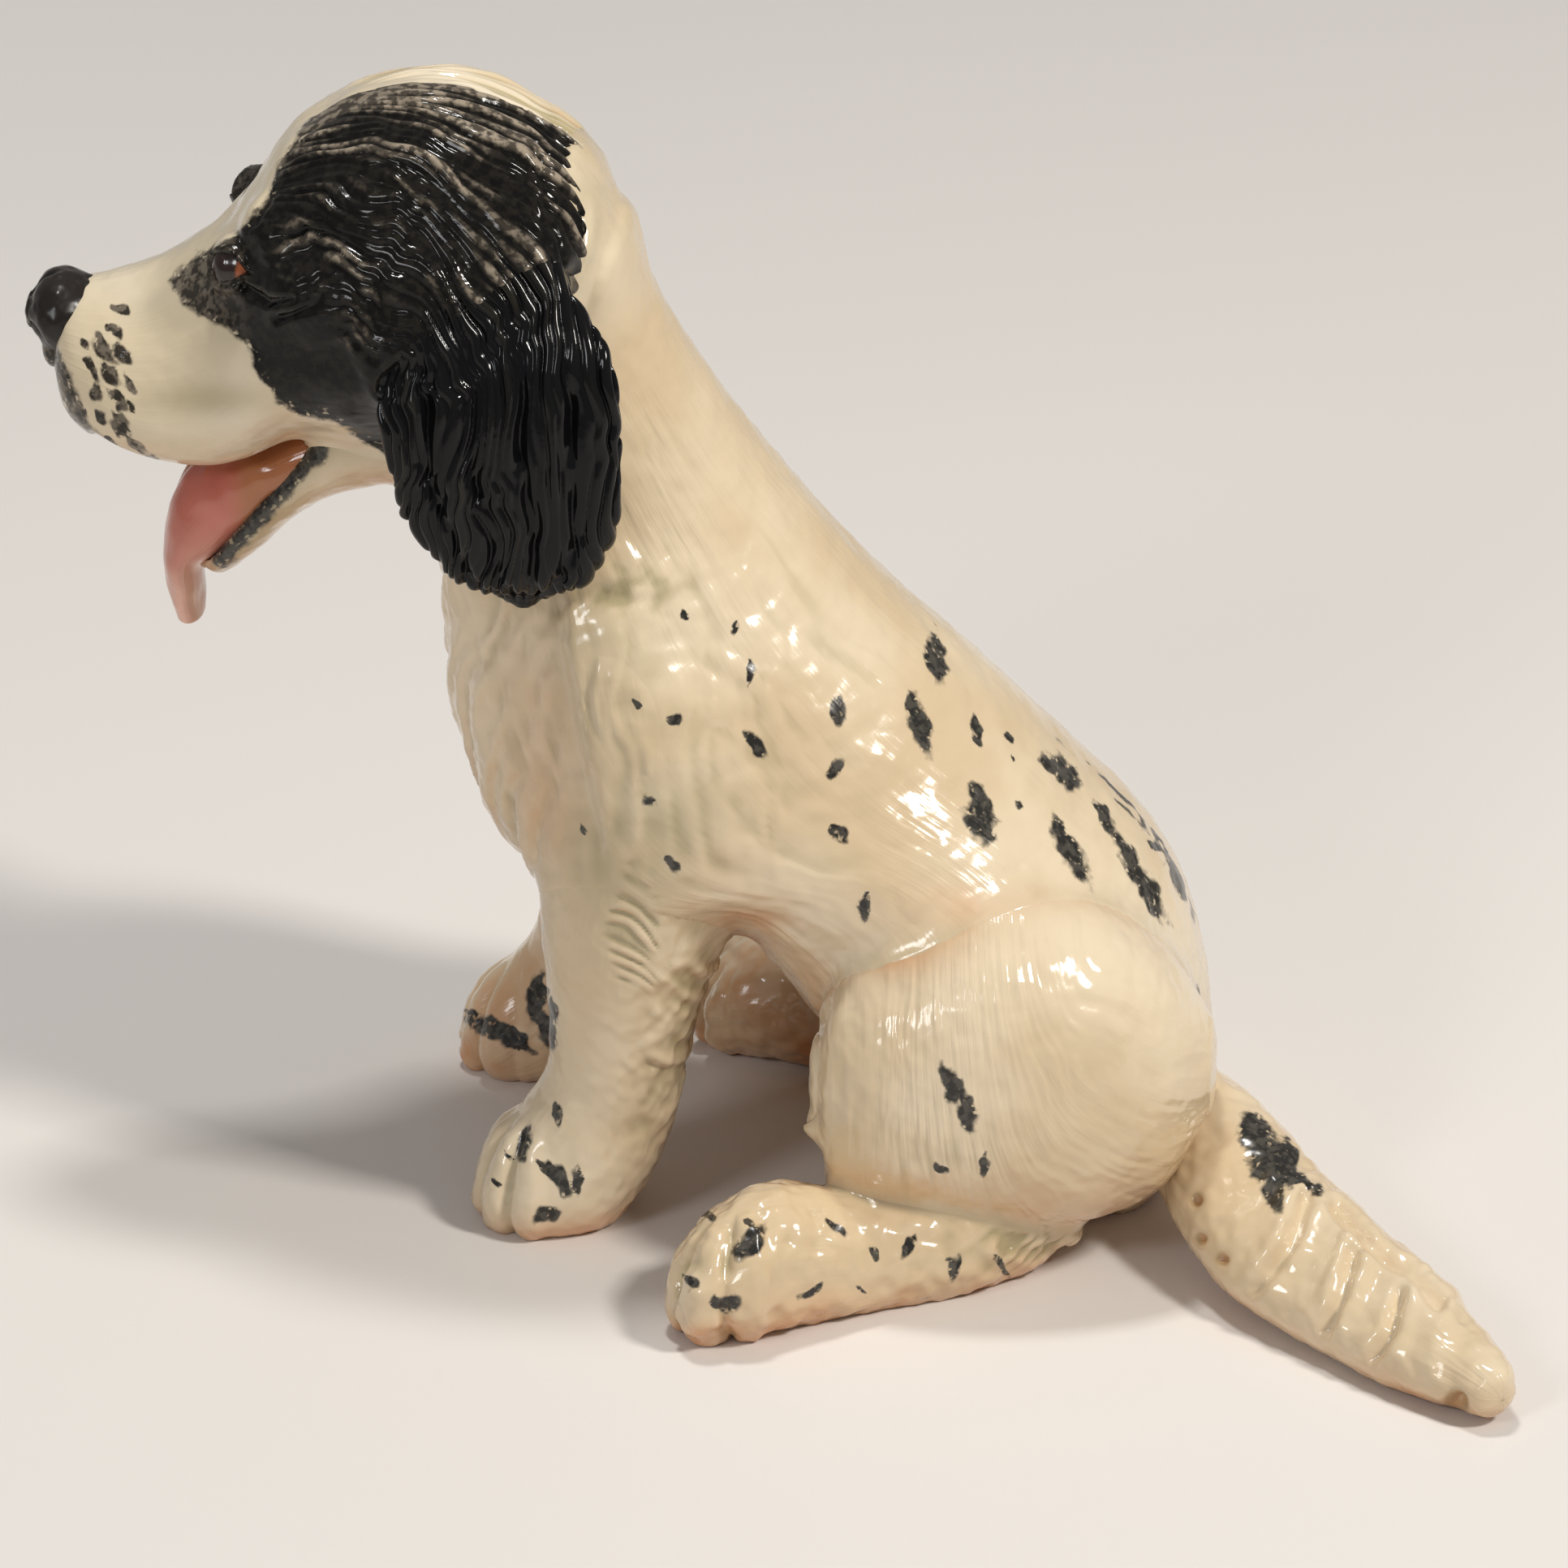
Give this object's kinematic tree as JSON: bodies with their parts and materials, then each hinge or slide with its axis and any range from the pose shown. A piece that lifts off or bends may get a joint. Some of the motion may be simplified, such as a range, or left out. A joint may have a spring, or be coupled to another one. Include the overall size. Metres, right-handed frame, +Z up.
{
  "type": "seated puppy figurine",
  "caption": "Free-standing glazed ceramic spaniel puppy, seated, with an open mouth, a hanging tongue, long ears and a feathered tail swept round to its left.",
  "frame": {"origin": "on the mid plane, on the flat face under the rump that the puppy sits on", "axes": "+Z up, -X towards the nose and +X towards the tail, -Y towards the puppy's left side"},
  "size_m": [0.175, 0.1042, 0.1376],
  "materials": {
    "cream_glaze": "gloss ivory glaze with painted black ticking",
    "head_glaze": "gloss ivory glaze with a painted black mask",
    "black_glaze": "gloss black glaze, thin and brown on the ridges",
    "nose_glaze": "gloss brown-black glaze",
    "tongue_glaze": "gloss pink glaze",
    "eye_glaze": "gloss brown glaze with a dark pupil"
  },
  "bodies": {
    "root": {"torso": "cream_glaze", "head": "head_glaze", "lower_jaw": "cream_glaze", "tongue": "tongue_glaze", "nose": "nose_glaze", "left_eye": "eye_glaze", "right_eye": "eye_glaze", "left_ear": "black_glaze", "right_ear": "black_glaze", "left_foreleg": "cream_glaze", "right_foreleg": "cream_glaze", "left_haunch": "cream_glaze", "right_haunch": "cream_glaze", "left_hind_foot": "cream_glaze", "right_hind_foot": "cream_glaze", "tail": "cream_glaze"}
  },
  "joints": []
}
